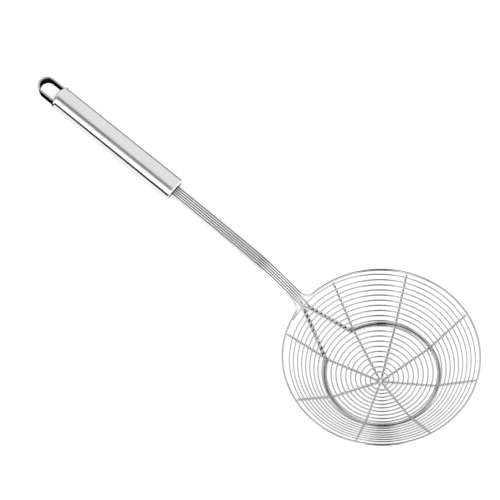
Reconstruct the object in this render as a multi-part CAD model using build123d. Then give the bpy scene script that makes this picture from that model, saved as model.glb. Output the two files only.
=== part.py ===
from build123d import *
import math
import os

# Spider skimmer, in millimetres and degrees. The model is drawn about the middle of the rim,
# with the handle towards +X and the bowl hanging below, and is laid down on a table at the end.

# Wires
frame_wire_diameter = 1.6
mesh_wire_diameter = 1.0
rib_wire_diameter = 0.8
touch_gap = 0.03

# Bowl of spiral mesh
rim_outer_diameter = 140.0
bowl_depth = 36.6
floor_radius = 36.5
floor_slope = 19.2
wall_slope = 38.0
forming_radius = 14.0
spiral_pitch = 3.65
spiral_start = 5.15
spiral_start_bearing = 155.0
spiral_flare = 1.5
spiral_flare_turns = 0.3

# Ribs that bind the spiral
rib_count = 8
rib_hub_radius = 1.45

# Under-ring and its two twisted struts
ring_radius = 40.3
ring_drop = 25.8
ring_set_back = 0.9
ring_gate = 29.0
strut_head_offset = 3.2
strut_head_aside = 2.2
strut_head_drop = 5.3
strut_foot_reach = 38.9
strut_foot_aside = 13.9
strut_half_twists = 10

# Neck of six wires side by side
rim_gate = 8.5
neck_wire_count = 6
neck_wire_gap = 0.02
neck_foot_offset = 6.8
neck_foot_rise = 4.2
neck_foot_slope = 31.0
neck_middle_slope = 14.0
grip_slope = 11.0
neck_foot_bend_radius = 143.0
neck_long_bend_radius = 1340.0
neck_hidden_length = 25.0

# Grip: a hollow shell that narrows a little to the rear
grip_length = 107.7
grip_width = 18.6
grip_thickness = 11.0
grip_corner = 4.2
grip_crown_edge_slope = 14.0
grip_narrowing = 1.0
grip_wall = 0.6
grip_rear_plan_radius = 17.5
lip_length = 1.3
lip_depth = 1.9
lip_rounding = 1.0
plate_thickness = 1.0
fit_gap = 0.06
overrun = 3.0

# Hanging loop: a flat strap bent to a U
loop_reach = 15.8
loop_width = 13.7
loop_height = 6.4
loop_thickness = 1.2
loop_lean = 2.0
loop_hidden_length = 14.0

# Sides of the drawn sections, and stations along the drawn wires
frame_wire_sides = 4
mesh_wire_sides = 3
rib_wire_sides = 3
twist_stations = 4
station_step = 4.0
lip_stations = 3
measured_points = 2000
measured_skip = 4
tangent_step = 0.001
tilt_attempts = 5

# Worked out from the sizes above
frame_wire_radius = frame_wire_diameter / 2
mesh_wire_radius = mesh_wire_diameter / 2
rib_wire_radius = rib_wire_diameter / 2
rim_radius = rim_outer_diameter / 2 - frame_wire_radius
neck_pitch = frame_wire_diameter + neck_wire_gap


def unit(direction):
    """The direction with a length of one."""
    return direction.normalized()


def inclined(slope):
    """Direction towards the handle at a slope above the rim's plane."""
    return Vector(math.cos(math.radians(slope)), 0, math.sin(math.radians(slope)))


def ring_point(radius, bearing, height, centre=0.0):
    """A point at a radius and a bearing round an upright axis."""
    turn = math.radians(bearing)
    return Vector(centre + radius * math.cos(turn), radius * math.sin(turn), height)


def faceted(diameter, sides):
    """The section of a wire."""
    return RegularPolygon(diameter / 2, sides)


def headings_of(route):
    """Direction at each point of a route, midway between its two runs there."""
    headings = []
    for index, point in enumerate(route):
        arriving = point - route[max(index - 1, 0)]
        leaving = route[min(index + 1, len(route) - 1)] - point
        headings.append(unit(sum((unit(run) for run in (arriving, leaving) if run.length), Vector())))
    return headings


def drawn_wire(route, headings, diameter, sides, across):
    """One wire: its section carried along a route of points, square to the headings there."""
    sections = []
    for point, along in zip(route, headings):
        across = unit(across - along * across.dot(along))
        sections.append(Plane(point, x_dir=across, z_dir=along) * faceted(diameter, sides))
    return loft(sections, ruled=True)


def arc_pair(start, leaving, end, arriving):
    """Two arcs that join two points and are tangent to a direction at each."""
    chord = end - start
    heading = chord.dot(leaving + arriving)
    spread = 2 * (1 - leaving.dot(arriving))
    reach = (math.sqrt(heading ** 2 + spread * chord.dot(chord)) - heading) / spread
    middle = (start + leaving * reach + end - arriving * reach) / 2
    return [TangentArc(start, middle, tangent=leaving), TangentArc(end, middle, tangent=-arriving)]


def points_of(edges, start, step):
    """Points along joined edges, no further apart than a step, from the end at the start point."""
    points = [start]
    for edge in edges:
        count = math.ceil(edge.length / step)
        backwards = (edge @ 0 - points[-1]).length > (edge @ 1 - points[-1]).length
        for index in range(1, count + 1):
            share = index / count
            points.append(edge @ (1 - share if backwards else share))
    return points


# Bowl: the mesh follows a profile of a small cap, a floor, a corner and a wall
cap_length = forming_radius * math.radians(floor_slope)
floor_rise_radius = forming_radius * math.sin(math.radians(floor_slope))
floor_length = (floor_radius - floor_rise_radius) / math.cos(math.radians(floor_slope))
corner_length = forming_radius * math.radians(wall_slope - floor_slope)


def bowl_profile(distance):
    """Radius, height and slope of the mesh at a distance along it from the middle of the bowl."""
    radius, height, slope = 0.0, -bowl_depth, 0.0
    stretches = ((cap_length, floor_slope), (floor_length, floor_slope), (corner_length, wall_slope))
    for length, end_slope in stretches + ((math.inf, wall_slope),):
        run = min(distance, length)
        end = math.radians(end_slope)
        if end > slope:
            end = slope + run / forming_radius
            radius += forming_radius * (math.sin(end) - math.sin(slope))
            height += forming_radius * (math.cos(slope) - math.cos(end))
        else:
            radius += run * math.cos(end)
            height += run * math.sin(end)
        slope = end
        distance -= run
        if distance <= 0:
            break
    return radius, height, slope


def bowl_point(distance, bearing, above=0.0, aside=0.0):
    """A point off the mesh, above it and to its left as seen from the middle."""
    radius, height, slope = bowl_profile(distance)
    outward = ring_point(1, bearing, 0)
    leftward = ring_point(1, bearing + 90, 0)
    upright = Vector(0, 0, math.cos(slope)) - outward * math.sin(slope)
    return outward * radius + Vector(0, 0, height) + upright * above + leftward * aside


def wall_distance(clearance):
    """Distance along the mesh at which its wall comes within a clearance of the rim wire's centre."""
    corner_radius, corner_height, slope = bowl_profile(cap_length + floor_length + corner_length)
    to_rim = Vector(rim_radius - corner_radius, 0, -corner_height)
    along = to_rim.dot(inclined(wall_slope))
    off = math.sqrt(to_rim.dot(to_rim) - along ** 2)
    return cap_length + floor_length + corner_length + along - math.sqrt(clearance ** 2 - off ** 2)


# Spiral wire: one winding from the middle out, its end flared to the inside of the rim
spiral_end = wall_distance(frame_wire_radius + mesh_wire_radius + touch_gap)
spiral_turns = (spiral_end - spiral_flare - spiral_start) / spiral_pitch


def spiral_distance(turns):
    """Distance along the mesh from its middle after a number of turns of the spiral."""
    flare = max(0.0, 1 - (spiral_turns - turns) / spiral_flare_turns)
    return spiral_start + spiral_pitch * turns + spiral_flare * flare ** 2


def spiral_point(turns):
    """Centre of the spiral wire after a number of turns."""
    return bowl_point(spiral_distance(turns), spiral_start_bearing + 360 * turns)


def spiral_wire():
    """The winding, swept along a pair of arcs for each quarter turn."""
    count = math.ceil(4 * spiral_turns)
    stations = [spiral_turns * index / count for index in range(count + 1)]
    points = [spiral_point(turns) for turns in stations]
    headings = [
        unit(spiral_point(turns + tangent_step) - spiral_point(turns - tangent_step))
        for turns in stations
    ]
    arcs = []
    for index in range(count):
        arcs += arc_pair(points[index], headings[index], points[index + 1], headings[index + 1])
    start = Plane(points[0], x_dir=(0, 0, 1), z_dir=headings[0])
    return sweep(start * faceted(mesh_wire_diameter, mesh_wire_sides), path=Wire(arcs))


# Ribs: two fine wires each, one above and one below every turn, crossing between the turns
rib_over = mesh_wire_radius + rib_wire_radius + touch_gap
rib_beside = rib_wire_radius + touch_gap / 2
rib_end = wall_distance(frame_wire_radius + rib_over)


def rib_strand(number, side):
    """One of the two wires of a rib, from the hub to the rim."""
    bearing = 360 / rib_count * (number - 1 / 2)
    first_turn = ((bearing - spiral_start_bearing) / 360) % 1
    first_crossing = spiral_distance(first_turn)
    before = math.ceil(2 * first_crossing / spiral_pitch)
    route = []
    headings = []
    for step in range(-before, math.ceil(2 * spiral_turns)):
        distance = first_crossing + step * spiral_pitch / 2
        if distance < rib_hub_radius or distance > rib_end:
            continue
        twist = math.pi * step / 2
        above = side * rib_over * math.cos(twist)
        aside = side * rib_beside * math.sin(twist)
        slope = bowl_profile(distance)[2]
        route.append(bowl_point(distance, bearing, above, aside))
        headings.append(ring_point(math.cos(slope), bearing, math.sin(slope)))
    leftward = ring_point(1, bearing + 90, 0)
    return drawn_wire(route, headings, rib_wire_diameter, rib_wire_sides, leftward)


# Neck: six wires side by side, rising from the rim into the grip
neck_foot = Vector(rim_radius + neck_foot_offset, 0, neck_foot_rise)


def bent_up(start, radius, slope, end_slope):
    """End of an arc in the neck's side view, whose slope falls towards the handle."""
    rise = math.cos(math.radians(end_slope)) - math.cos(math.radians(slope))
    reach = math.sin(math.radians(slope)) - math.sin(math.radians(end_slope))
    return start + Vector(reach, 0, rise) * radius


neck_middle = bent_up(neck_foot, neck_foot_bend_radius, neck_foot_slope, neck_middle_slope)
grip_front = bent_up(neck_middle, neck_long_bend_radius, neck_middle_slope, grip_slope)


def neck_edges(aside):
    """Centre line of one neck wire, from inside the grip to the foot of the neck."""
    shift = Vector(0, aside, 0)
    inside = grip_front + inclined(grip_slope) * neck_hidden_length + shift
    long_bend = TangentArc(grip_front + shift, neck_middle + shift, tangent=-inclined(grip_slope))
    foot_bend = TangentArc(
        neck_middle + shift, neck_foot + shift, tangent=-inclined(neck_middle_slope)
    )
    return [Line(inside, grip_front + shift), long_bend, foot_bend]


def row_place(number):
    """Sideways place of a neck wire, counted from the middle of the row."""
    return neck_pitch * (number - 1 / 2)


# Rim wire: the outermost pair of neck wires and the rim between them
def rim_wire():
    aside = row_place(neck_wire_count / 2)
    edges = []
    for side in (1, -1):
        foot = neck_foot + Vector(0, side * aside, 0)
        gate = ring_point(rim_radius, side * rim_gate, 0)
        along_rim = ring_point(side, side * rim_gate + 90, 0)
        edges += neck_edges(side * aside)
        edges += arc_pair(foot, -inclined(neck_foot_slope), gate, along_rim)
    edges.append(CenterArc((0, 0, 0), rim_radius, rim_gate, 360 - 2 * rim_gate))
    inside = grip_front + inclined(grip_slope) * neck_hidden_length + Vector(0, aside, 0)
    start = Plane(inside, x_dir=(0, 1, 0), z_dir=-inclined(grip_slope))
    return sweep(start * faceted(frame_wire_diameter, frame_wire_sides), path=Wire(edges))


# Support wires: neck, twisted strut, under-ring and back, two wires side by side all the way
strut_head = Vector(rim_radius - strut_head_offset, strut_head_aside, -strut_head_drop)
strut_foot = Vector(strut_foot_reach, strut_foot_aside, -ring_drop)
twist_radius = neck_pitch / 2 / math.cos(math.pi / twist_stations / 2)


def support_route(place, side):
    """One half of a support wire: side is 1 for the outer wire and -1 for the inner one."""
    aside = Vector(0, row_place(place), 0)
    strut = strut_foot - strut_head
    along = unit(strut)
    leftward = unit(Vector(0, 0, 1).cross(along)) * -side
    upward = along.cross(leftward)
    turn_rate = math.pi * strut_half_twists / strut.length * twist_radius
    heading = unit(along + upward * turn_rate)
    offset = leftward * twist_radius
    neck = neck_edges(row_place(place))
    bend = arc_pair(neck_foot + aside, -inclined(neck_foot_slope), strut_head + offset, heading)
    start = grip_front + inclined(grip_slope) * neck_hidden_length + aside
    route = points_of(neck + bend, start, 2 * station_step)
    steps = strut_half_twists * twist_stations
    for step in range(1, steps + 1):
        twist = math.pi * strut_half_twists * step / steps
        swing = leftward * math.cos(twist) + upward * math.sin(twist)
        route.append(strut_head + strut * (step / steps) + swing * twist_radius)
    radius = ring_radius + side * neck_pitch / 2
    gate = ring_point(radius, ring_gate, -ring_drop, -ring_set_back)
    bend = arc_pair(route[-1], heading, gate, ring_point(1, ring_gate + 90, 0))
    ring = CenterArc((-ring_set_back, 0, -ring_drop), radius, ring_gate, 180 - ring_gate)
    route = route[:-1] + points_of(bend, route[-1], station_step)[:-1]
    return route + points_of([ring], gate, station_step)


def support_wire(place, side):
    """A support wire: one half and its mirror image."""
    half = support_route(place, side)
    other = [Vector(point.X, -point.Y, point.Z) for point in reversed(half[:-1])]
    route = half + other
    headings = headings_of(route)
    return drawn_wire(route, headings, frame_wire_diameter, frame_wire_sides, Vector(0, 1, 0))


# Grip: drawn in a frame whose Z runs along it to the rear and whose Y is its top
grip_frame = Plane(grip_front, x_dir=(0, 1, 0), z_dir=inclined(grip_slope))


def grip_inset(along):
    """How far the outside has drawn in at a place along the grip."""
    return grip_narrowing / 2 * along / grip_length


def grip_section(inset, along):
    """Section of the grip, facing the front: crowned top and bottom, flat sides, round corners."""
    drawn_in = inset + grip_inset(along)
    half_width = grip_width / 2 - drawn_in
    half_thickness = grip_thickness / 2 - drawn_in
    radius = grip_corner - drawn_in
    edge_slope = math.radians(grip_crown_edge_slope)
    across = half_width - radius
    crown = radius + across / math.sin(edge_slope)
    up = across / math.tan(edge_slope)
    level = half_thickness - crown + up
    share = crown / (crown - radius)
    join = Vector(across * share, half_thickness - crown + up * share)
    middle_turn = math.atan2(up, across) / 2
    bulge = Vector(across + radius * math.cos(middle_turn), level + radius * math.sin(middle_turn))
    edges = [ThreePointArc((-join.X, join.Y), (0, half_thickness), join)]
    edges.append(ThreePointArc(join, bulge, (half_width, level)))
    edges.append(Line((half_width, level), (half_width, -level)))
    edges.append(ThreePointArc((half_width, -level), (bulge.X, -bulge.Y), (join.X, -join.Y)))
    edges.append(ThreePointArc((join.X, -join.Y), (0, -half_thickness), (-join.X, -join.Y)))
    edges.append(ThreePointArc((-join.X, -join.Y), (-bulge.X, -bulge.Y), (-half_width, -level)))
    edges.append(Line((-half_width, -level), (-half_width, level)))
    edges.append(ThreePointArc((-half_width, level), (-bulge.X, bulge.Y), (-join.X, join.Y)))
    return Pos(0, 0, along) * Rot(0, 180, 0) * make_face(edges)


def grip_body(inset, start, end):
    """The grip's solid drawn in by an inset, between two places along it."""
    taper = math.degrees(math.atan2(grip_inset(end) - grip_inset(start), end - start))
    return extrude(grip_section(inset, start), end - start, dir=(0, 0, 1), taper=taper)


def grip_outside():
    """The grip's outside, with its front lip turned in on a quarter round."""
    sections = []
    for station in range(lip_stations + 1):
        turn = math.pi / 2 * station / lip_stations
        inset = lip_rounding * (1 - math.sin(turn))
        sections.append(grip_section(inset, lip_rounding * (1 - math.cos(turn))))
    return loft(sections, ruled=True) + grip_body(0, lip_rounding, grip_length)


def grip_shell():
    """The shell: hollow, its front lip turned in and rounded, its rear end cut on an arc."""
    straight = grip_length - grip_rear_plan_radius + overrun
    wide = grip_width * 2
    kept = Pos(0, 0, straight / 2 - overrun) * Box(wide, wide, straight)
    kept += Pos(0, 0, grip_length - grip_rear_plan_radius) * (
        Rot(90, 0, 0) * Cylinder(grip_rear_plan_radius, wide)
    )
    cavity = grip_body(grip_wall, lip_length, grip_length + overrun)
    mouth = grip_body(lip_depth, -overrun, lip_length + overrun)
    return grip_frame.location * (grip_outside() & kept - cavity - mouth)


def grip_end_plate():
    """The plate behind the lip, with a slot for the row of wires."""
    front = lip_length + fit_gap
    plate = grip_body(grip_wall + fit_gap, front, front + plate_thickness)
    slot_width = neck_pitch * neck_wire_count + 2 * fit_gap
    slot_height = frame_wire_diameter + 2 * fit_gap
    slot = extrude(SlotOverall(slot_width, slot_height), front + plate_thickness + overrun)
    return grip_frame.location * (plate - slot)


def hanging_loop():
    """A flat strap bent to a U, which leans back towards the grip on its underside."""
    legs_start = grip_length - grip_rear_plan_radius + math.sqrt(
        grip_rear_plan_radius ** 2 - (grip_width / 2 - grip_inset(grip_length)) ** 2
    ) - loop_hidden_length
    outlines = []
    for inset in (0, loop_thickness):
        half_width = loop_width / 2 - inset
        bend_start = grip_length + loop_reach - loop_width / 2
        tip = Vector(0, bend_start + half_width)
        side = Vector(half_width, bend_start)
        legs = Polyline(
            (-half_width, bend_start),
            (-half_width, legs_start - inset * overrun),
            (half_width, legs_start - inset * overrun),
            (half_width, bend_start),
        )
        outlines.append(make_face([legs, ThreePointArc(side, tip, (-half_width, bend_start))]))
    top = Plane((0, loop_height / 2, 0), x_dir=(-1, 0, 0), z_dir=(0, 1, 0))
    outline = top * (outlines[0] - outlines[1])
    downward = Vector(0, -loop_height, -loop_lean)
    strap = extrude(outline, downward.length, dir=unit(downward))
    return grip_frame.location * strap


nodes = {
    "grip_shell": grip_shell(),
    "grip_end_plate": grip_end_plate(),
    "hanging_loop": hanging_loop(),
    "rim_wire": rim_wire(),
    "support_wire_outer": support_wire(2, 1),
    "support_wire_inner": support_wire(1, -1),
    "spiral_wire": spiral_wire(),
}
for number in range(1, rib_count + 1):
    nodes[f"rib_{number}_strand_a"] = rib_strand(number, 1)
    nodes[f"rib_{number}_strand_b"] = rib_strand(number, -1)


# Least gap of the winding to itself, measured on points half a turn and more apart
measured = [spiral_point(spiral_turns * index / measured_points) for index in range(measured_points)]
half_turn = math.ceil(measured_points / spiral_turns / 2)
gaps = [
    (point - other).length
    for index, point in list(enumerate(measured))[::measured_skip]
    for other in measured[index + half_turn : index + 3 * half_turn]
]
print("spiral turns", round(spiral_turns, 2), "least gap", round(min(gaps) - mesh_wire_diameter, 3))

# Laid down: it rests on the bowl's under-ring and on the rear of the grip or the hanging loop
ring_corners = support_route(2, 1)
tails = [
    grip_frame.from_local_coords(
        Vector(0, grip_inset(grip_length) - grip_thickness / 2, grip_length)
    ),
    grip_frame.from_local_coords(
        Vector(0, -loop_height / 2, grip_length + loop_reach - loop_lean)
    ),
]
tilt = 0.0
for attempt in range(tilt_attempts):
    down = Vector(math.sin(tilt), 0, -math.cos(tilt))
    corner = max(ring_corners, key=down.dot)
    tail = max(tails, key=down.dot)
    chord = Vector(tail.X - corner.X, 0, tail.Z - corner.Z)
    tilt = math.atan2(chord.Z, chord.X) + math.asin(frame_wire_radius / chord.length)
tilted = {name: Rot(0, math.degrees(tilt), 0) * solid for name, solid in nodes.items()}
box = Compound(children=[Part(solid.wrapped) for solid in tilted.values()]).bounding_box()
middle = box.center()
print("tilt", round(math.degrees(tilt), 2), "size", box.size)

os.makedirs("parts", exist_ok=True)
for name, solid in tilted.items():
    export_step(Pos(-middle.X, -middle.Y, -box.min.Z) * solid, f"parts/{name}.step")
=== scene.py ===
import bpy
import numpy as np
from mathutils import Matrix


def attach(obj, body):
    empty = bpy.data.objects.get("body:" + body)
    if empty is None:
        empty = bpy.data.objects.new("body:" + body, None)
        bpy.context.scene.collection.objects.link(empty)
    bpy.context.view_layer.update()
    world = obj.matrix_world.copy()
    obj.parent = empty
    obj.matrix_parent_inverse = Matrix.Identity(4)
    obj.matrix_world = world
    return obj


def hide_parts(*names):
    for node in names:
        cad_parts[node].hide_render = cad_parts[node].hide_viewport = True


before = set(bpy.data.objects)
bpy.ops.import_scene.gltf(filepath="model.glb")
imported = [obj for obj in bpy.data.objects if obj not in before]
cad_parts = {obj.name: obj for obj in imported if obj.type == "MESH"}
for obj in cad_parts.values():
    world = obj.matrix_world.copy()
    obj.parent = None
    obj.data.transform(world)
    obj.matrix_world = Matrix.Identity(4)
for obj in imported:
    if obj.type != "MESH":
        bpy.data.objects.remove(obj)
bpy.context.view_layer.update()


# Rim wire
# One drawn stainless wire, 1.6 mm thick. It leaves the grip, goes once round the bowl as its rim
# and comes back beside itself, so that its two ends are the outer pair of the six neck wires.

per_metre = 1000
frame_wire = 1.6
rim_radius = 69.2
rim_gate = np.radians(8.5)
neck_pitch = 1.62
neck_foot = np.array((76.0, 0.0, 4.2))
foot_slope, middle_slope, grip_slope = np.radians((31.0, 14.0, 11.0))
foot_bend, long_bend = 143.0, 1340.0
hidden_in_grip = 25.0
nearly_straight = frame_wire / 1000
wire_sides = 16
hidden_points, neck_points, foot_points = 8, 48, 24
rim_bend_points, rim_points = 16, 240


def node_corners(name):
    """Corners of a node's mesh, in millimetres."""
    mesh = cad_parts[name].data
    corners = np.empty(3 * len(mesh.vertices))
    mesh.vertices.foreach_get("co", corners)
    return corners.reshape(-1, 3) * per_metre


rim_corners = node_corners("rim_wire")
rim_half = rim_corners[rim_corners[:, 0] < rim_corners[:, 0].min() + rim_radius]
rim_axis = np.linalg.svd(rim_half - rim_half.mean(0), full_matrices=False)[2][-1]
rim_axis *= np.sign(rim_axis[2])
handle_way = np.array((rim_axis[2], 0.0, -rim_axis[0]))
rim_middle = (
    handle_way * ((rim_corners @ handle_way).min() + rim_radius + frame_wire / 2)
    + rim_axis * (rim_half @ rim_axis).mean()
)


def turned(points):
    """Points or directions drawn with the rim level, turned to how the skimmer lies."""
    lying = np.outer(points[:, 0], handle_way) + np.outer(points[:, 2], rim_axis)
    lying[:, 1] += points[:, 1]
    return lying


def placed(points):
    """Points drawn about the rim's middle, moved to where the skimmer lies, in metres."""
    return (turned(points) + rim_middle) / per_metre


def tangent_arc(start, leaving, end, count):
    """Points on the arc that leaves the start in a direction and reaches the end."""
    chord = end - start
    ahead = chord @ leaving
    aside = chord - leaving * ahead
    off = np.linalg.norm(aside)
    share = np.linspace(0, 1, count)[:, None]
    if off < nearly_straight:
        return start + chord * share
    radius = chord @ chord / (2 * off)
    turn = 2 * np.arctan2(off, ahead) * share
    return start + radius * (np.sin(turn) * leaving + (1 - np.cos(turn)) * aside / off)


def arc_pair(start, leaving, end, arriving, count):
    """Points on two arcs that join two points, tangent to a direction at each."""
    chord = end - start
    heading = chord @ (leaving + arriving)
    spread = 2 * (1 - leaving @ arriving)
    reach = (np.sqrt(heading**2 + spread * chord @ chord) - heading) / spread
    middle = (start + leaving * reach + end - arriving * reach) / 2
    first = tangent_arc(start, leaving, middle, count)
    second = tangent_arc(end, -arriving, middle, count)[::-1]
    return np.concatenate((first[:-1], second))


def inclined(slope):
    """Direction towards the handle at a slope above the rim."""
    return np.array((np.cos(slope), 0.0, np.sin(slope)))


def bent_up(start, radius, slope, end_slope):
    """End of an arc whose slope falls towards the handle."""
    rise = np.cos(end_slope) - np.cos(slope)
    return start + radius * np.array((np.sin(slope) - np.sin(end_slope), 0.0, rise))


def ring_point(radius, bearing, height=0.0, middle=0.0):
    """Point at a radius and a bearing round an upright axis."""
    return np.array((middle + radius * np.cos(bearing), radius * np.sin(bearing), height))


neck_middle = bent_up(neck_foot, foot_bend, foot_slope, middle_slope)
grip_front = bent_up(neck_middle, long_bend, middle_slope, grip_slope)


def neck_line(aside):
    """Points down one neck wire, from inside the grip to the foot of the neck."""
    inside = grip_front + inclined(grip_slope) * hidden_in_grip
    straight = np.linspace(inside, grip_front, hidden_points)
    middle = tangent_arc(grip_front, -inclined(grip_slope), neck_middle, neck_points)
    foot = tangent_arc(neck_middle, -inclined(middle_slope), neck_foot, foot_points)
    return np.concatenate((straight[:-1], middle[:-1], foot)) + np.array((0.0, aside, 0.0))


def mirrored(points):
    """Points on the other side of the handle, in turned order."""
    return points[::-1] * np.array((1.0, -1.0, 1.0))


# Painted shade: a near-black colour in the grooves between the neck wires stands in for the shade
# that falls there. It is widest and blackest at the grip's mouth, and it thins out at the foot of
# the neck, where the painted highlight along the neck ends too.
shade_steepness = 1.6
groove_reach, mouth_reach = 0.5, 0.2
groove_shade_depth, mouth_shade_depth = 0.8, 0.2
mouth_before, mouth_fade = 4.5, 3.0
shade_before, shade_fade = 4.0, 12.0
highlight_before, highlight_fade = 8.0, 16.0


def near(distance, reach):
    """One at a small distance, falling to nothing at a reach."""
    return np.clip(shade_steepness * (1 - np.abs(distance) / reach), 0, 1)


def past_foot(points, before, fade):
    """Nothing on the bowl's side of the neck's foot, growing to one over a length that spans it."""
    return np.clip((points[..., 0] - neck_foot[0] + before) / fade, 0, 1)


def neck_groove_shade(points):
    """How much painted shade points of the skin get in the grooves between the neck wires."""
    groove = np.clip(np.round(points[:, 1] / neck_pitch), -2, 2) * neck_pitch
    from_mouth = (points - grip_front) @ inclined(grip_slope)
    mouth = np.clip((from_mouth + mouth_before) / mouth_fade, 0, 1)
    in_groove = near(points[:, 1] - groove, groove_reach + mouth_reach * mouth)
    filled = groove_shade_depth + mouth_shade_depth * mouth
    return past_foot(points, shade_before, shade_fade) * in_groove * filled


def grid_faces(rows, columns, closed=False):
    """Faces with four corners on a grid of corners. Each row is a ring, and in a closed grid the
    last row joins the first one."""
    bands = rows if closed else rows - 1
    row, column = np.meshgrid(np.arange(bands), np.arange(columns), indexing="ij")
    next_row, next_column = (row + 1) % rows, (column + 1) % columns
    around = ((row, column), (row, next_column), (next_row, next_column), (next_row, column))
    return np.stack([ring * columns + spot for ring, spot in around], axis=-1).reshape(-1, 4)


def end_caps(rows, columns):
    """The two faces that close the first and the last ring of a grid of corners."""
    last = (rows - 1) * columns
    return [list(range(columns - 1, -1, -1)), list(range(last, last + columns))]


def smooth_piece(name, points, faces):
    """A smooth piece on points drawn about the rim's middle."""
    mesh = bpy.data.meshes.new(name)
    mesh.from_pydata(placed(points.reshape(-1, 3)).tolist(), [], faces)
    mesh.polygons.foreach_set("use_smooth", np.ones(len(mesh.polygons), dtype=bool))
    mesh.update()
    piece = bpy.data.objects.new(name, mesh)
    bpy.context.collection.objects.link(piece)
    return piece


def mark_corners(piece, mark, values):
    """Keeps a value for each corner of a piece, which its material reads under the mark."""
    kept = piece.data.attributes.new(mark, "FLOAT", "POINT")
    kept.data.foreach_set("value", values.ravel())


def wire_mesh(name, middle, radius, sides, grooves=None):
    """A round skin about a line of points, with domed ends. Corner (i, j) is the middle i plus
    the radius times cos(j) aside and sin(j) up. Its UV is the length along and the way round."""
    along = np.gradient(middle, axis=0)
    along /= np.linalg.norm(along, axis=1)[:, None]
    dome = np.radians((75.0, 45.0))
    start = middle[0] - radius * np.outer(np.sin(dome), along[0])
    end = middle[-1] + radius * np.outer(np.sin(dome[::-1]), along[-1])
    middle = np.concatenate((start, middle, end))
    along = np.concatenate((along[[0, 0]], along, along[[-1, -1]]))
    radii = np.full(len(middle), radius)
    radii[:2] = radius * np.cos(dome)
    radii[-2:] = radius * np.cos(dome[::-1])
    up = np.array((0.0, 0.0, 1.0)) - along * along[:, 2:]
    up /= np.linalg.norm(up, axis=1)[:, None]
    aside = np.cross(up, along)
    turn = 2 * np.pi * np.arange(sides) / sides
    round_way = np.cos(turn)[:, None] * aside[:, None] + np.sin(turn)[:, None] * up[:, None]
    corners = middle[:, None] + radii[:, None, None] * round_way
    faces = grid_faces(len(middle), sides)
    caps = end_caps(len(middle), sides)
    piece = smooth_piece(name, corners, faces.tolist() + caps)
    length = np.concatenate(((0.0,), np.linalg.norm(np.diff(middle, axis=0), axis=1).cumsum()))
    round_uv = (faces[:, :1] % sides + np.array((0, 1, 1, 0))) / sides
    uv = np.zeros((len(piece.data.loops), 2))
    uv[: faces.size] = np.stack((length[faces // sides], round_uv), axis=-1).reshape(-1, 2)
    piece.data.uv_layers.new(name="UVMap").data.foreach_set("uv", uv.ravel())
    # The groove mark carries painted shade, and the mark after it a painted highlight along the
    # neck.
    if grooves:
        mark_corners(piece, "groove", grooves(corners.reshape(-1, 3)))
        mark_corners(piece, "painted_neck_highlight", past_foot(corners, highlight_before, highlight_fade))
    return piece


def link(tree, source, socket, target):
    """Joins an output, by name, to an input."""
    tree.links.new(source.outputs[socket], target)


def bare_steel(name):
    """A metal with no finish yet, with its nodes and its shader."""
    material = bpy.data.materials.new(name)
    material.use_nodes = True
    shader = material.node_tree.nodes["Principled BSDF"]
    shader.inputs["Metallic"].default_value = 1.0
    return material, material.node_tree, shader


def uneven(tree, source, socket, scale, detail):
    """Noise at the places that an output gives."""
    noise = tree.nodes.new("ShaderNodeTexNoise")
    noise.inputs["Scale"].default_value = scale
    noise.inputs["Detail"].default_value = detail
    link(tree, source, socket, noise.inputs["Vector"])
    return noise


def slow_clouds(tree, scale):
    """Noise in the piece's own space, the same every way."""
    place = tree.nodes.new("ShaderNodeTexCoord")
    return uneven(tree, place, "Object", scale, 2.0)


def long_streaks(tree, stretching, detail):
    """Noise on the length along the piece and the way round it, drawn out along it."""
    uv = tree.nodes.new("ShaderNodeUVMap")
    uv.uv_map = "UVMap"
    stretch = tree.nodes.new("ShaderNodeMapping")
    stretch.inputs["Scale"].default_value = stretching
    link(tree, uv, "UV", stretch.inputs["Vector"])
    return uneven(tree, stretch, "Vector", 1.0, detail)


def vary_gloss(tree, noise, smooth, rough, shader):
    """Lets the roughness follow the noise between two values."""
    gloss = tree.nodes.new("ShaderNodeMapRange")
    gloss.inputs["To Min"].default_value = smooth
    gloss.inputs["To Max"].default_value = rough
    link(tree, noise, "Fac", gloss.inputs["Value"])
    link(tree, gloss, "Result", shader.inputs["Roughness"])


def raise_lines(tree, noise, strength, shader):
    """Raises fine lines where the noise is high."""
    lines = tree.nodes.new("ShaderNodeBump")
    lines.inputs["Strength"].default_value = strength
    lines.inputs["Distance"].default_value = 0.00002
    link(tree, noise, "Fac", lines.inputs["Height"])
    link(tree, lines, "Normal", shader.inputs["Normal"])


def tone_between(tree, noise, dull, bright):
    """A tone that follows the noise from a dull colour to a bright one."""
    tone = tree.nodes.new("ShaderNodeMix")
    tone.data_type = "RGBA"
    tone.inputs["A"].default_value = (*dull, 1.0)
    tone.inputs["B"].default_value = (*bright, 1.0)
    link(tree, noise, "Fac", tone.inputs["Factor"])
    return tone


def laid_over(tree, tone, mark, colour):
    """A colour laid over a tone where the corners of the piece carry a mark."""
    where = tree.nodes.new("ShaderNodeAttribute")
    where.attribute_name = mark
    cover = tree.nodes.new("ShaderNodeMix")
    cover.data_type = "RGBA"
    cover.inputs["B"].default_value = (*colour, 1.0)
    link(tree, where, "Fac", cover.inputs["Factor"])
    link(tree, tone, "Result", cover.inputs["A"])
    return cover


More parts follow.
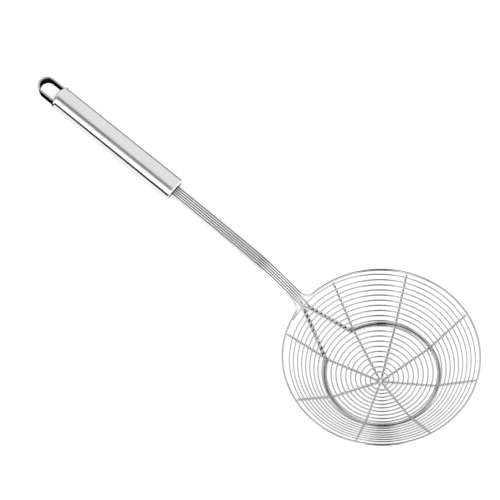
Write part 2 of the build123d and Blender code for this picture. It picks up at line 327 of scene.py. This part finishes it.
def drawn_steel(name, colour, smooth, rough):
    """Bright drawn steel: streaks along the wire change its roughness and raise fine lines, slow
    clouds of a slightly darker tone lie over it, the neck is painted brighter as a painted
    highlight, and near-black painted shade fills the grooves."""
    material, tree, shader = bare_steel(name)
    streaks = long_streaks(tree, (0.12, 14.0, 1.0), 3.0)
    vary_gloss(tree, streaks, smooth, rough, shader)
    raise_lines(tree, streaks, 0.15, shader)
    tone = tone_between(tree, slow_clouds(tree, 90.0), [0.86 * part for part in colour], colour)
    # A painted highlight: the neck's steel is given a colour brighter than steel has.
    painted_neck_highlight = laid_over(tree, tone, "painted_neck_highlight", (0.93, 0.93, 0.94))
    # Near-black painted shade in the grooves between the wires.
    painted_groove_shade = laid_over(tree, painted_neck_highlight, "groove", (0.01, 0.01, 0.01))
    link(tree, painted_groove_shade, "Result", shader.inputs["Base Color"])
    return material


frame_steel = drawn_steel("frame_wire_steel", (0.66, 0.66, 0.67), 0.03, 0.09)

outer_row = 2.5 * neck_pitch
rim_foot = neck_foot + np.array((0.0, outer_row, 0.0))
rim_entry = ring_point(rim_radius, rim_gate)
along_rim = ring_point(1.0, rim_gate + np.pi / 2)
rim_bend = arc_pair(rim_foot, -inclined(foot_slope), rim_entry, along_rim, rim_bend_points)
rim_turn = np.linspace(rim_gate, 2 * np.pi - rim_gate, rim_points)
rim_round = np.stack((np.cos(rim_turn), np.sin(rim_turn), 0 * rim_turn), axis=1) * rim_radius
rim_start = np.concatenate((neck_line(outer_row)[:-1], rim_bend[:-1]))
rim_line = np.concatenate((rim_start, rim_round, mirrored(rim_start)))
rim_piece = wire_mesh("rim_wire_round", rim_line, frame_wire / 2, wire_sides, neck_groove_shade)
rim_piece.data.materials.append(frame_steel)
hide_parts("rim_wire")
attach(rim_piece, "root")


# Support wires
# The four inner neck wires are two long wires. On each side one strand of both is twisted into a
# strut under the bowl, and the pair then lies side by side as the ring that the bowl stands on.

ring_radius, ring_drop, ring_back = 40.3, 25.8, 0.9
ring_gate = np.radians(29.0)
strut_head = np.array((rim_radius - 3.2, 2.2, -5.3))
strut_foot = np.array((38.9, 13.9, -ring_drop))
strut_half_twists = 10
twist_reach, pair_reach = 1.35, 0.45
strut_bend_points, points_per_half_twist = 14, 12
joining_points, half_ring_points = 12, 90


def support_line(row, side):
    """Points along one support wire: row is its place in the neck, and side is 1 for the outer
    wire of the pair and -1 for the inner one."""
    strut = strut_foot - strut_head
    length = np.linalg.norm(strut)
    along = strut / length
    leftward = np.cross((0.0, 0.0, 1.0), along)
    leftward *= -side / np.linalg.norm(leftward)
    upward = np.cross(along, leftward)
    heading = along + upward * np.pi * strut_half_twists / length * neck_pitch / 2
    heading /= np.linalg.norm(heading)
    foot = neck_foot + np.array((0.0, row * neck_pitch, 0.0))
    head = strut_head + leftward * neck_pitch / 2
    bend = arc_pair(foot, -inclined(foot_slope), head, heading, strut_bend_points)
    share = np.linspace(0, 1, strut_half_twists * points_per_half_twist + 1)[:, None]
    twist = np.pi * strut_half_twists * share
    swing = leftward * np.cos(twist) + upward * np.sin(twist)
    rope = strut_head + strut * share + swing * neck_pitch / 2
    radius = ring_radius + side * neck_pitch / 2
    gate = ring_point(radius, ring_gate, -ring_drop, -ring_back)
    along_ring = ring_point(1.0, ring_gate + np.pi / 2)
    joining = arc_pair(rope[-1], heading, gate, along_ring, joining_points)
    joining[:, 2] = np.maximum(joining[:, 2], -ring_drop)
    turn = np.linspace(ring_gate, np.pi, half_ring_points)
    ring = np.stack((np.cos(turn) * radius - ring_back, np.sin(turn) * radius, 0 * turn), axis=1)
    ring[:, 2] -= ring_drop
    neck = neck_line(row * neck_pitch)
    half = np.concatenate((neck[:-1], bend[:-1], rope[:-1], joining[:-1], ring))
    return np.concatenate((half, mirrored(half)[1:]))


def support_groove_shade(points):
    """How much painted shade points of the skin get in the grooves of the neck, the struts and the
    ring.
    """
    folded = points * np.array((1.0, 0.0, 1.0))
    folded[:, 1] = np.abs(points[:, 1])
    strut = strut_foot - strut_head
    share = (folded - strut_head) @ strut / (strut @ strut)
    off_axis = np.linalg.norm(folded - strut_head - share[:, None] * strut, axis=1)
    in_strut = (share > 0) & (share < 1)
    off_ring = np.hypot(points[:, 0] + ring_back, points[:, 1]) - ring_radius
    in_ring = (share > 1) & (points[:, 2] < -ring_drop + frame_wire)
    twisted = in_strut * near(off_axis, twist_reach)
    paired = in_ring * near(off_ring, pair_reach)
    return np.maximum(np.maximum(neck_groove_shade(points), twisted), paired)


for node, row, side in (("support_wire_outer", 1.5, 1), ("support_wire_inner", 0.5, -1)):
    support = wire_mesh(
        node + "_round", support_line(row, side), frame_wire / 2, wire_sides, support_groove_shade
    )
    support.data.materials.append(frame_steel)
    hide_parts(node)
    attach(support, "root")


# Spiral wire
# The mesh is one 1 mm wire wound from the middle out over a bowl-shaped former: a small cap, a
# cone as the floor, a rounded corner and a steeper cone as the wall, to the inside of the rim.

mesh_wire = 1.0
bowl_depth, former_radius, floor_radius = 36.6, 14.0, 36.5
floor_slope, wall_slope = np.radians((19.2, 38.0))
spiral_pitch, spiral_start, spiral_bearing = 3.65, 5.15, np.radians(155.0)
spiral_flare, flare_turns = 1.5, 0.3
spiral_sides, points_per_turn = 12, 128
weld_gap = 0.03
cap_length = former_radius * floor_slope
floor_length = (floor_radius - former_radius * np.sin(floor_slope)) / np.cos(floor_slope)
corner_length = former_radius * (wall_slope - floor_slope)


def bowl_profile(distance):
    """Radius, height and slope at a distance along the mesh from its middle: an arc up to the
    floor's slope, a straight floor, an arc up to the wall's slope and a straight wall."""
    cap = np.clip(distance, 0, cap_length)
    floor = np.clip(distance - cap_length, 0, floor_length)
    corner = np.clip(distance - cap_length - floor_length, 0, corner_length)
    wall = np.maximum(distance - cap_length - floor_length - corner_length, 0)
    first, second = cap / former_radius, floor_slope + corner / former_radius
    radius = former_radius * (np.sin(first) + np.sin(second) - np.sin(floor_slope))
    radius += floor * np.cos(floor_slope) + wall * np.cos(wall_slope)
    height = former_radius * (1 - np.cos(first) + np.cos(floor_slope) - np.cos(second))
    height += floor * np.sin(floor_slope) + wall * np.sin(wall_slope) - bowl_depth
    return radius, height, first + second - floor_slope


def wall_distance(clearance):
    """Distance along the mesh at which its wall comes within a clearance of the rim's middle."""
    corner_end = cap_length + floor_length + corner_length
    radius, height = bowl_profile(np.array(corner_end))[:2]
    to_rim = np.array((rim_radius - radius, 0.0, -height))
    along = to_rim @ inclined(wall_slope)
    return corner_end + along - np.sqrt(clearance**2 - (to_rim @ to_rim - along**2))


spiral_end = wall_distance(frame_wire / 2 + mesh_wire / 2 + weld_gap)
spiral_turns = (spiral_end - spiral_flare - spiral_start) / spiral_pitch
turns = np.linspace(0, spiral_turns, int(spiral_turns * points_per_turn))
flare = np.maximum(0, 1 - (spiral_turns - turns) / flare_turns)
spiral_distance = spiral_start + spiral_pitch * turns + spiral_flare * flare**2
spiral_radius, spiral_height = bowl_profile(spiral_distance)[:2]
bearing = spiral_bearing + 2 * np.pi * turns
spiral_line = np.stack(
    (spiral_radius * np.cos(bearing), spiral_radius * np.sin(bearing), spiral_height), axis=1
)
spiral_piece = wire_mesh("spiral_wire_round", spiral_line, mesh_wire / 2, spiral_sides)
mesh_steel = drawn_steel("mesh_wire_steel", (0.64, 0.64, 0.65), 0.04, 0.12)
spiral_piece.data.materials.append(mesh_steel)
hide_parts("spiral_wire")
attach(spiral_piece, "root")


# Rib wires
# Eight ribs bind the turns. Each is two 0.8 mm wires that go one over and one under every turn
# and cross between the turns, from the middle of the bowl to the rim.

rib_wire = 0.8
rib_count = 8
rib_hub = 1.45
rib_sides, points_per_crossing = 10, 20
rib_over = (mesh_wire + rib_wire) / 2 + weld_gap
rib_beside = rib_wire / 2 + weld_gap / 2
rib_end = wall_distance(frame_wire / 2 + rib_over)


def rib_line(number, side):
    """Points along one wire of a rib: off the mesh by cos(twist) and aside by sin(twist), where
    the twist grows by half a turn from one turn of the spiral to the next."""
    bearing = 2 * np.pi / rib_count * (number - 0.5)
    first_turn = ((bearing - spiral_bearing) / (2 * np.pi)) % 1
    first_crossing = spiral_start + spiral_pitch * first_turn
    crossings = (rib_end - rib_hub) / spiral_pitch
    distance = np.linspace(rib_hub, rib_end, int(points_per_crossing * crossings))
    twist = np.pi * (distance - first_crossing) / spiral_pitch
    radius, height, slope = bowl_profile(distance)
    above = side * rib_over * np.cos(twist)
    aside = side * rib_beside * np.sin(twist)
    reach = radius - above * np.sin(slope)
    across = reach * np.cos(bearing) - aside * np.sin(bearing)
    along = reach * np.sin(bearing) + aside * np.cos(bearing)
    return np.stack((across, along, height + above * np.cos(slope)), axis=1)


rib_steel = drawn_steel("rib_wire_steel", (0.54, 0.54, 0.55), 0.05, 0.14)
for number in range(1, rib_count + 1):
    for strand, side in (("a", 1), ("b", -1)):
        node = f"rib_{number}_strand_{strand}"
        rib = wire_mesh(node + "_round", rib_line(number, side), rib_wire / 2, rib_sides)
        rib.data.materials.append(rib_steel)
        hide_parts(node)
        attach(rib, "root")


# Grip
# A hollow handle pressed from 0.6 mm sheet, with a low crown above and below and rounded corners.
# Its front lip is turned in round the wires, its rear edge is cut on an arc, and it is brushed.

grip_length, grip_width, grip_thickness, grip_corner = 107.7, 18.6, 11.0, 4.2
grip_narrowing = 1.0
crown_edge = np.radians(14.0)
grip_wall = 0.6
lip_depth, lip_length, lip_round = 1.9, 1.3, 1.0
rear_plan_radius = 17.5
edge_round = 0.12
lip_rings, edge_rings, outer_rings, inner_rings = 4, 8, 60, 20
crown_points, corner_points, side_points = 14, 22, 5
grip_way = inclined(grip_slope)
grip_top = np.array((-np.sin(grip_slope), 0.0, np.cos(grip_slope)))


def in_grip(across, up, along):
    """Points in the grip's own directions, moved to the rim's."""
    points = grip_front + along[..., None] * grip_way + up[..., None] * grip_top
    points[..., 1] += across
    return points


def grip_ring(drawn_in):
    """Across and up places round the section, drawn in by an inset: a crown arc, a corner arc
    and a flat side, and the same again three times in mirror image."""
    radius = grip_corner - drawn_in
    across = grip_width / 2 - grip_corner
    crown = radius + across / np.sin(crown_edge)
    level = grip_thickness / 2 - drawn_in - crown + across / np.tan(crown_edge)
    crown_turn = np.linspace(0, crown_edge, crown_points)[:, None]
    corner_turn = np.linspace(crown_edge, np.pi / 2, corner_points)[1:, None]
    side_share = np.linspace(1, 0, side_points)[1:, None]
    top = grip_thickness / 2 - drawn_in - crown
    quarter_across = np.concatenate(
        (
            crown * np.sin(crown_turn),
            across + radius * np.sin(corner_turn),
            across + radius + 0 * side_share,
        )
    )
    quarter_up = np.concatenate(
        (top + crown * np.cos(crown_turn), level + radius * np.cos(corner_turn), level * side_share)
    )
    right_across = np.concatenate((quarter_across, quarter_across[-2::-1]))
    right_up = np.concatenate((quarter_up, -quarter_up[-2::-1]))
    ring_across = np.concatenate((right_across, -right_across[-2:0:-1]))
    ring_up = np.concatenate((right_up, right_up[-2:0:-1]))
    return ring_across, ring_up


# The wall's profile runs from inside the lip round its edge to the outside, back to the rear edge,
# round that edge and forward again inside. Each of its rings has a place from the front, a share
# of the way to the rear edge, an inset from the outside and a bulge past the edge.
quarter_turn = np.linspace(0, np.pi / 2, edge_rings + 1)[1:]
half_turn = np.linspace(0, np.pi, edge_rings + 1)
outer_share = np.linspace(0, 1, outer_rings + 1)[1:]
inner_share = np.linspace(1, 0, inner_rings + 1)[1:]
front_place = np.concatenate(
    (
        np.linspace(lip_length, edge_round, lip_rings),
        edge_round * (1 - np.sin(quarter_turn)),
        lip_round * (1 - np.cos(quarter_turn)),
    )
)
front_inset = np.concatenate(
    (
        np.full(lip_rings, lip_depth),
        lip_depth - edge_round * (1 - np.cos(quarter_turn)),
        lip_round * (1 - np.sin(quarter_turn)),
    )
)
rear_inset = grip_wall / 2 * (1 - np.cos(half_turn))
rear_bulge = grip_wall / 2 * np.sin(half_turn)
place = np.concatenate(
    (
        front_place,
        lip_round + 0 * outer_share,
        lip_round + 0 * half_turn,
        lip_length + 0 * inner_share,
    )
)
rearward = np.concatenate((0 * front_place, outer_share, 1 + 0 * half_turn, inner_share))
inset = np.concatenate((front_inset, 0 * outer_share, rear_inset, grip_wall + 0 * inner_share))
bulge = np.concatenate((0 * front_place, 0 * outer_share, rear_bulge, 0 * inner_share))
nominal = place + rearward * (grip_length - place)
grip_across, grip_up = grip_ring((inset + grip_narrowing / 2 * nominal / grip_length)[None])
rear_middle = grip_length - rear_plan_radius
rear_place = rear_middle + np.sqrt(rear_plan_radius**2 - grip_across**2) - grip_wall / 2
grip_along = place + rearward * (rear_place - place) + bulge

grip_faces = grid_faces(*grip_across.shape, closed=True)
grip_points = in_grip(grip_across, grip_up, grip_along)
grip_piece = smooth_piece("grip_shell_brushed", grip_points, grip_faces.tolist())
grip_uv = np.stack((grip_along.ravel()[grip_faces], grip_across.ravel()[grip_faces]), axis=-1)
grip_piece.data.uv_layers.new(name="UVMap").data.foreach_set("uv", grip_uv.ravel())
outside = np.zeros(2 * edge_rings + outer_rings)
# Painted shade: the turned-in lip, the rear edge and the inside of the shell are marked to be
# painted nearly black.
inside_shade_share = np.concatenate((np.ones(lip_rings), outside, 1 + 0 * half_turn, 1 + 0 * inner_share))
mark_corners(grip_piece, "painted_inside_shade", inside_shade_share + 0 * grip_across)


def brushed_steel(name, colour, smooth, rough):
    """Brushed steel: fine scratches along the grip change its roughness and raise faint lines,
    wide clouds of handling dullness lie over it, and its inside is painted nearly black as painted
    shade."""
    material, tree, shader = bare_steel(name)
    scratches = long_streaks(tree, (0.05, 5.0, 1.0), 4.0)
    vary_gloss(tree, scratches, smooth, rough, shader)
    raise_lines(tree, scratches, 0.12, shader)
    tone = tone_between(tree, slow_clouds(tree, 60.0), [0.95 * part for part in colour], colour)
    # Near-black painted shade where the inside is marked.
    inside_shade = laid_over(tree, tone, "painted_inside_shade", (0.02, 0.02, 0.02))
    link(tree, inside_shade, "Result", shader.inputs["Base Color"])
    return material


grip_steel = brushed_steel("grip_brushed_steel", (0.81, 0.81, 0.82), 0.1, 0.18)
grip_piece.data.materials.append(grip_steel)
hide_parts("grip_shell")
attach(grip_piece, "root")


# End plate
# A flat plate behind the grip's lip, with a slot that the six wires pass through. It sits in the
# shade of the lip, and that shade is painted into it as a near-black colour.

plate_steel, plate_tree, plate_shader = bare_steel("end_plate_painted_shade_steel")
plate_clouds = slow_clouds(plate_tree, 700.0)
# Painted shade: a near-black colour, far below steel's own tone.
plate_painted_shade = tone_between(plate_tree, plate_clouds, (0.05, 0.05, 0.05), (0.12, 0.12, 0.12))
link(plate_tree, plate_painted_shade, "Result", plate_shader.inputs["Base Color"])
vary_gloss(plate_tree, plate_clouds, 0.35, 0.5, plate_shader)
plate_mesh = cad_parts["grip_end_plate"].data
plate_mesh.materials.clear()
plate_mesh.materials.append(plate_steel)


# Hanging loop
# A flat strap, 1.2 mm thick, bent to a U and held in the open rear of the grip. Its broad faces
# are painted near black as a painted dark reflection, and its rounded edges keep a plain steel
# tone.
# It leans towards the grip below.

loop_reach, loop_width, loop_height, loop_thickness = 15.8, 13.7, 6.4, 1.2
loop_lean = 2.0
loop_edge = 0.28
loop_hidden = 14.0
leg_points, bend_points, edge_points = 16, 49, 6
plain_edge_share = 0.9
rear_half_width = (grip_width - grip_narrowing) / 2
legs_start = rear_middle - loop_hidden + np.sqrt(rear_plan_radius**2 - rear_half_width**2)
bend_middle = grip_length + loop_reach - loop_width / 2
bend_radius = (loop_width - loop_thickness) / 2
leg = np.linspace(legs_start, bend_middle, leg_points)
bend_turn = np.linspace(0, np.pi, bend_points)[1:-1]
path_across = np.concatenate(
    (bend_radius + 0 * leg, bend_radius * np.cos(bend_turn), -bend_radius + 0 * leg)
)
path_along = np.concatenate((leg, bend_middle + bend_radius * np.sin(bend_turn), leg[::-1]))
out_across = np.concatenate((1 + 0 * leg, np.cos(bend_turn), -1 + 0 * leg))
out_along = np.concatenate((0 * leg, np.sin(bend_turn), 0 * leg))

# The strap's section is four rounded edges, one after the other
edge_turn = np.arange(4)[:, None] * np.pi / 2 + np.linspace(0, np.pi / 2, edge_points)
out_sign = np.array((1, -1, -1, 1))[:, None]
up_sign = np.array((1, 1, -1, -1))[:, None]
edge_out = out_sign * (loop_thickness / 2 - loop_edge) + loop_edge * np.cos(edge_turn)
edge_up = up_sign * (loop_height / 2 - loop_edge) + loop_edge * np.sin(edge_turn)
loop_across = path_across[:, None] + out_across[:, None] * edge_out.ravel()
loop_up = edge_up.ravel() + 0 * loop_across
lean_share = (loop_height / 2 - loop_up) / loop_height
loop_along = path_along[:, None] + out_along[:, None] * edge_out.ravel() - loop_lean * lean_share
loop_faces = grid_faces(*loop_across.shape).tolist() + end_caps(*loop_across.shape)
loop_points = in_grip(loop_across, loop_up, loop_along)
loop_piece = smooth_piece("hanging_loop_strap", loop_points, loop_faces)
on_edge = np.abs(loop_up) > loop_height / 2 - loop_edge * plain_edge_share
mark_corners(loop_piece, "plain_steel_edge", on_edge.astype(float))

strap_steel, strap_tree, strap_shader = bare_steel("strap_painted_dark_reflection_steel")
strap_clouds = slow_clouds(strap_tree, 350.0)
# Painted dark reflection: the broad faces are near black, far below steel's own tone.
strap_painted_reflection = tone_between(strap_tree, strap_clouds, (0.008, 0.008, 0.008), (0.05, 0.05, 0.05))
strap_tone = laid_over(strap_tree, strap_painted_reflection, "plain_steel_edge", (0.5, 0.5, 0.5))
link(strap_tree, strap_tone, "Result", strap_shader.inputs["Base Color"])
vary_gloss(strap_tree, strap_clouds, 0.18, 0.34, strap_shader)
# The dark tint darkens the edge reflections as part of the painted dark reflection.
strap_shader.inputs["Specular Tint"].default_value = (0.1, 0.1, 0.1, 1.0)
loop_piece.data.materials.append(strap_steel)
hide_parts("hanging_loop")
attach(loop_piece, "root")


# Table and studio
# A white table that shows white to the camera and to the steel, with a soft shadow. Cards that
# hang before the white tent round it, most of them dark, draw the lines along the steel.

table_size = 6.0
table_corners = [
    (-table_size, -table_size, 0),
    (table_size, -table_size, 0),
    (table_size, table_size, 0),
    (-table_size, table_size, 0),
]
table_mesh = bpy.data.meshes.new("table")
table_mesh.from_pydata(table_corners, [], [(0, 1, 2, 3)])
table = bpy.data.objects.new("table", table_mesh)
bpy.context.collection.objects.link(table)


def combined(tree, operation, first, first_output, second, second_output):
    """Node that combines two outputs."""
    node = tree.nodes.new("ShaderNodeMath")
    node.operation = operation
    link(tree, first, first_output, node.inputs[0])
    link(tree, second, second_output, node.inputs[1])
    return node


table_white = bpy.data.materials.new("table_white")
table_white.use_nodes = True
table_tree = table_white.node_tree
table_shader = table_tree.nodes["Principled BSDF"]
table_shader.inputs["Base Color"].default_value = (0.3, 0.3, 0.3, 1.0)
table_shader.inputs["Roughness"].default_value = 0.9
table_shader.inputs["Specular IOR Level"].default_value = 0.0
table_shader.inputs["Emission Color"].default_value = (1.0, 1.0, 1.0, 1.0)
ray = table_tree.nodes.new("ShaderNodeLightPath")
seen = combined(table_tree, "MAXIMUM", ray, "Is Camera Ray", ray, "Is Glossy Ray")
seen = combined(table_tree, "MAXIMUM", seen, "Value", ray, "Is Transmission Ray")
whitening = table_tree.nodes.new("ShaderNodeMath")
whitening.operation = "MULTIPLY"
whitening.inputs[1].default_value = 0.75
link(table_tree, seen, "Value", whitening.inputs[0])
link(table_tree, whitening, "Value", table_shader.inputs["Emission Strength"])
table_mesh.materials.append(table_white)

tent = bpy.data.worlds.new("tent")
bpy.context.scene.world = tent
tent.use_nodes = True
tent_tree = tent.node_tree
background = tent_tree.nodes["Background"]
background.inputs["Color"].default_value = (1.0, 1.0, 1.0, 1.0)
way = tent_tree.nodes.new("ShaderNodeTexCoord")


def reach_along(axis):
    """Node that gives how far a direction points along an axis."""
    dot = tent_tree.nodes.new("ShaderNodeVectorMath")
    dot.operation = "DOT_PRODUCT"
    dot.inputs[1].default_value = tuple(axis)
    link(tent_tree, way, "Generated", dot.inputs[0])
    return dot


def window(node, low, high, soft):
    """Node that gives one between two bounds and nothing outside them, with soft edges."""
    edges = []
    for start, end in ((low - soft, low + soft), (high + soft, high - soft)):
        edge = tent_tree.nodes.new("ShaderNodeMapRange")
        edge.interpolation_type = "SMOOTHSTEP"
        edge.inputs["From Min"].default_value = start
        edge.inputs["From Max"].default_value = end
        link(tent_tree, node, "Value", edge.inputs["Value"])
        edges.append(edge)
    return combined(tent_tree, "MULTIPLY", edges[0], "Result", edges[1], "Result")


# The cards hang in two sets. Each set has an axis to reach along, and two axes that the lean
# turns between. The first set follows the table's own axes, with the handle along the first one,
# and the second set follows the picture's, whose right and up are given with the rim level.
view_right = np.array((-0.787, -0.6171, 0.0))
view_right /= np.linalg.norm(view_right)
view_up = np.array((0.5424, -0.6918, 0.4768))
view_up /= np.linalg.norm(view_up)
view_back = np.cross(view_right, view_up)
view_axes = turned(np.stack((view_right, view_up, view_back)))
handle_axes = np.eye(3)
# Cards: lowest and highest lean in degrees, lowest and highest reach, the softness of both, and
# the share that a card leaves of the light from behind it, above one where it is brighter
handle_cards = (
    (42.0, 84.0, -0.03, 0.35, 3.0, 0.03, 0.0),
    (2.0, 36.0, 0.05, 0.4, 2.0, 0.03, 1.25),
    (-100.0, -66.0, -0.1, 0.35, 3.0, 0.06, 0.0),
    (-66.0, -1.0, -0.05, 0.4, 2.0, 0.06, 0.7),
    (-13.0, -5.5, -0.05, 0.35, 1.5, 0.06, 0.4),
)
view_cards = (
    (30.0, 115.0, -0.42, 0.12, 4.0, 0.03, 0.0),
    (-95.0, -14.0, -0.2, 0.3, 3.0, 0.03, 0.0),
    (-14.0, 18.0, -0.06, 0.1, 2.0, 0.02, 0.0),
)
light = tent_tree.nodes.new("ShaderNodeValue")
light.outputs["Value"].default_value = 1.35
for axes, cards in ((handle_axes, handle_cards), (view_axes, view_cards)):
    reach, sideways, upward = [reach_along(axis) for axis in axes]
    lean = combined(tent_tree, "ARCTAN2", sideways, "Value", upward, "Value")
    for low, high, nearest, farthest, soft, soft_reach, left in cards:
        leaning = window(lean, *np.radians((low, high, soft)))
        reaching = window(reach, nearest, farthest, soft_reach)
        card = combined(tent_tree, "MULTIPLY", leaning, "Value", reaching, "Value")
        change = tent_tree.nodes.new("ShaderNodeMath")
        change.operation = "MULTIPLY_ADD"
        change.inputs[1].default_value = left - 1.0
        change.inputs[2].default_value = 1.0
        link(tent_tree, card, "Value", change.inputs[0])
        light = combined(tent_tree, "MULTIPLY", light, "Value", change, "Value")
tent_ray = tent_tree.nodes.new("ShaderNodeLightPath")
shown = tent_tree.nodes.new("ShaderNodeMix")
shown.inputs["B"].default_value = 1.0
link(tent_tree, tent_ray, "Is Camera Ray", shown.inputs["Factor"])
link(tent_tree, light, "Value", shown.inputs["A"])
link(tent_tree, shown, "Result", background.inputs["Strength"])

lamp_data = bpy.data.lights.new("overhead_lamp", "AREA")
lamp_data.shape = "RECTANGLE"
lamp_data.size, lamp_data.size_y = 1.2, 0.5
lamp_data.energy = 6.0
lamp = bpy.data.objects.new("overhead_lamp", lamp_data)
lamp.location = (0.0, 0.45, 1.1)
lamp.rotation_euler = (np.radians(-22.0), 0.0, 0.0)
lamp.visible_glossy = False
bpy.context.collection.objects.link(lamp)

bpy.context.scene.view_settings.view_transform = "Standard"


# Camera
# A long lens far off, square on to the view in which the skimmer was measured. The middle of the
# picture is given from the rim's middle, and the picture is 349.65 mm wide there.

picture_width = 0.34965
camera_distance = 6.0
middle_right, middle_up = -91.88, 74.69
camera_data = bpy.data.cameras.new("camera")
camera_data.lens = camera_data.sensor_width * camera_distance / picture_width
camera_data.clip_end = 100.0
camera = bpy.data.objects.new("camera", camera_data)
bpy.context.collection.objects.link(camera)
picture_middle = view_right * middle_right + view_up * middle_up
lens_place = placed((picture_middle + view_back * camera_distance * per_metre)[None])[0]
matrix = np.eye(4)
matrix[:3, :3] = view_axes.T
matrix[:3, 3] = lens_place
camera.matrix_world = matrix.T.tolist()
bpy.context.scene.camera = camera

bpy.context.view_layer.update()
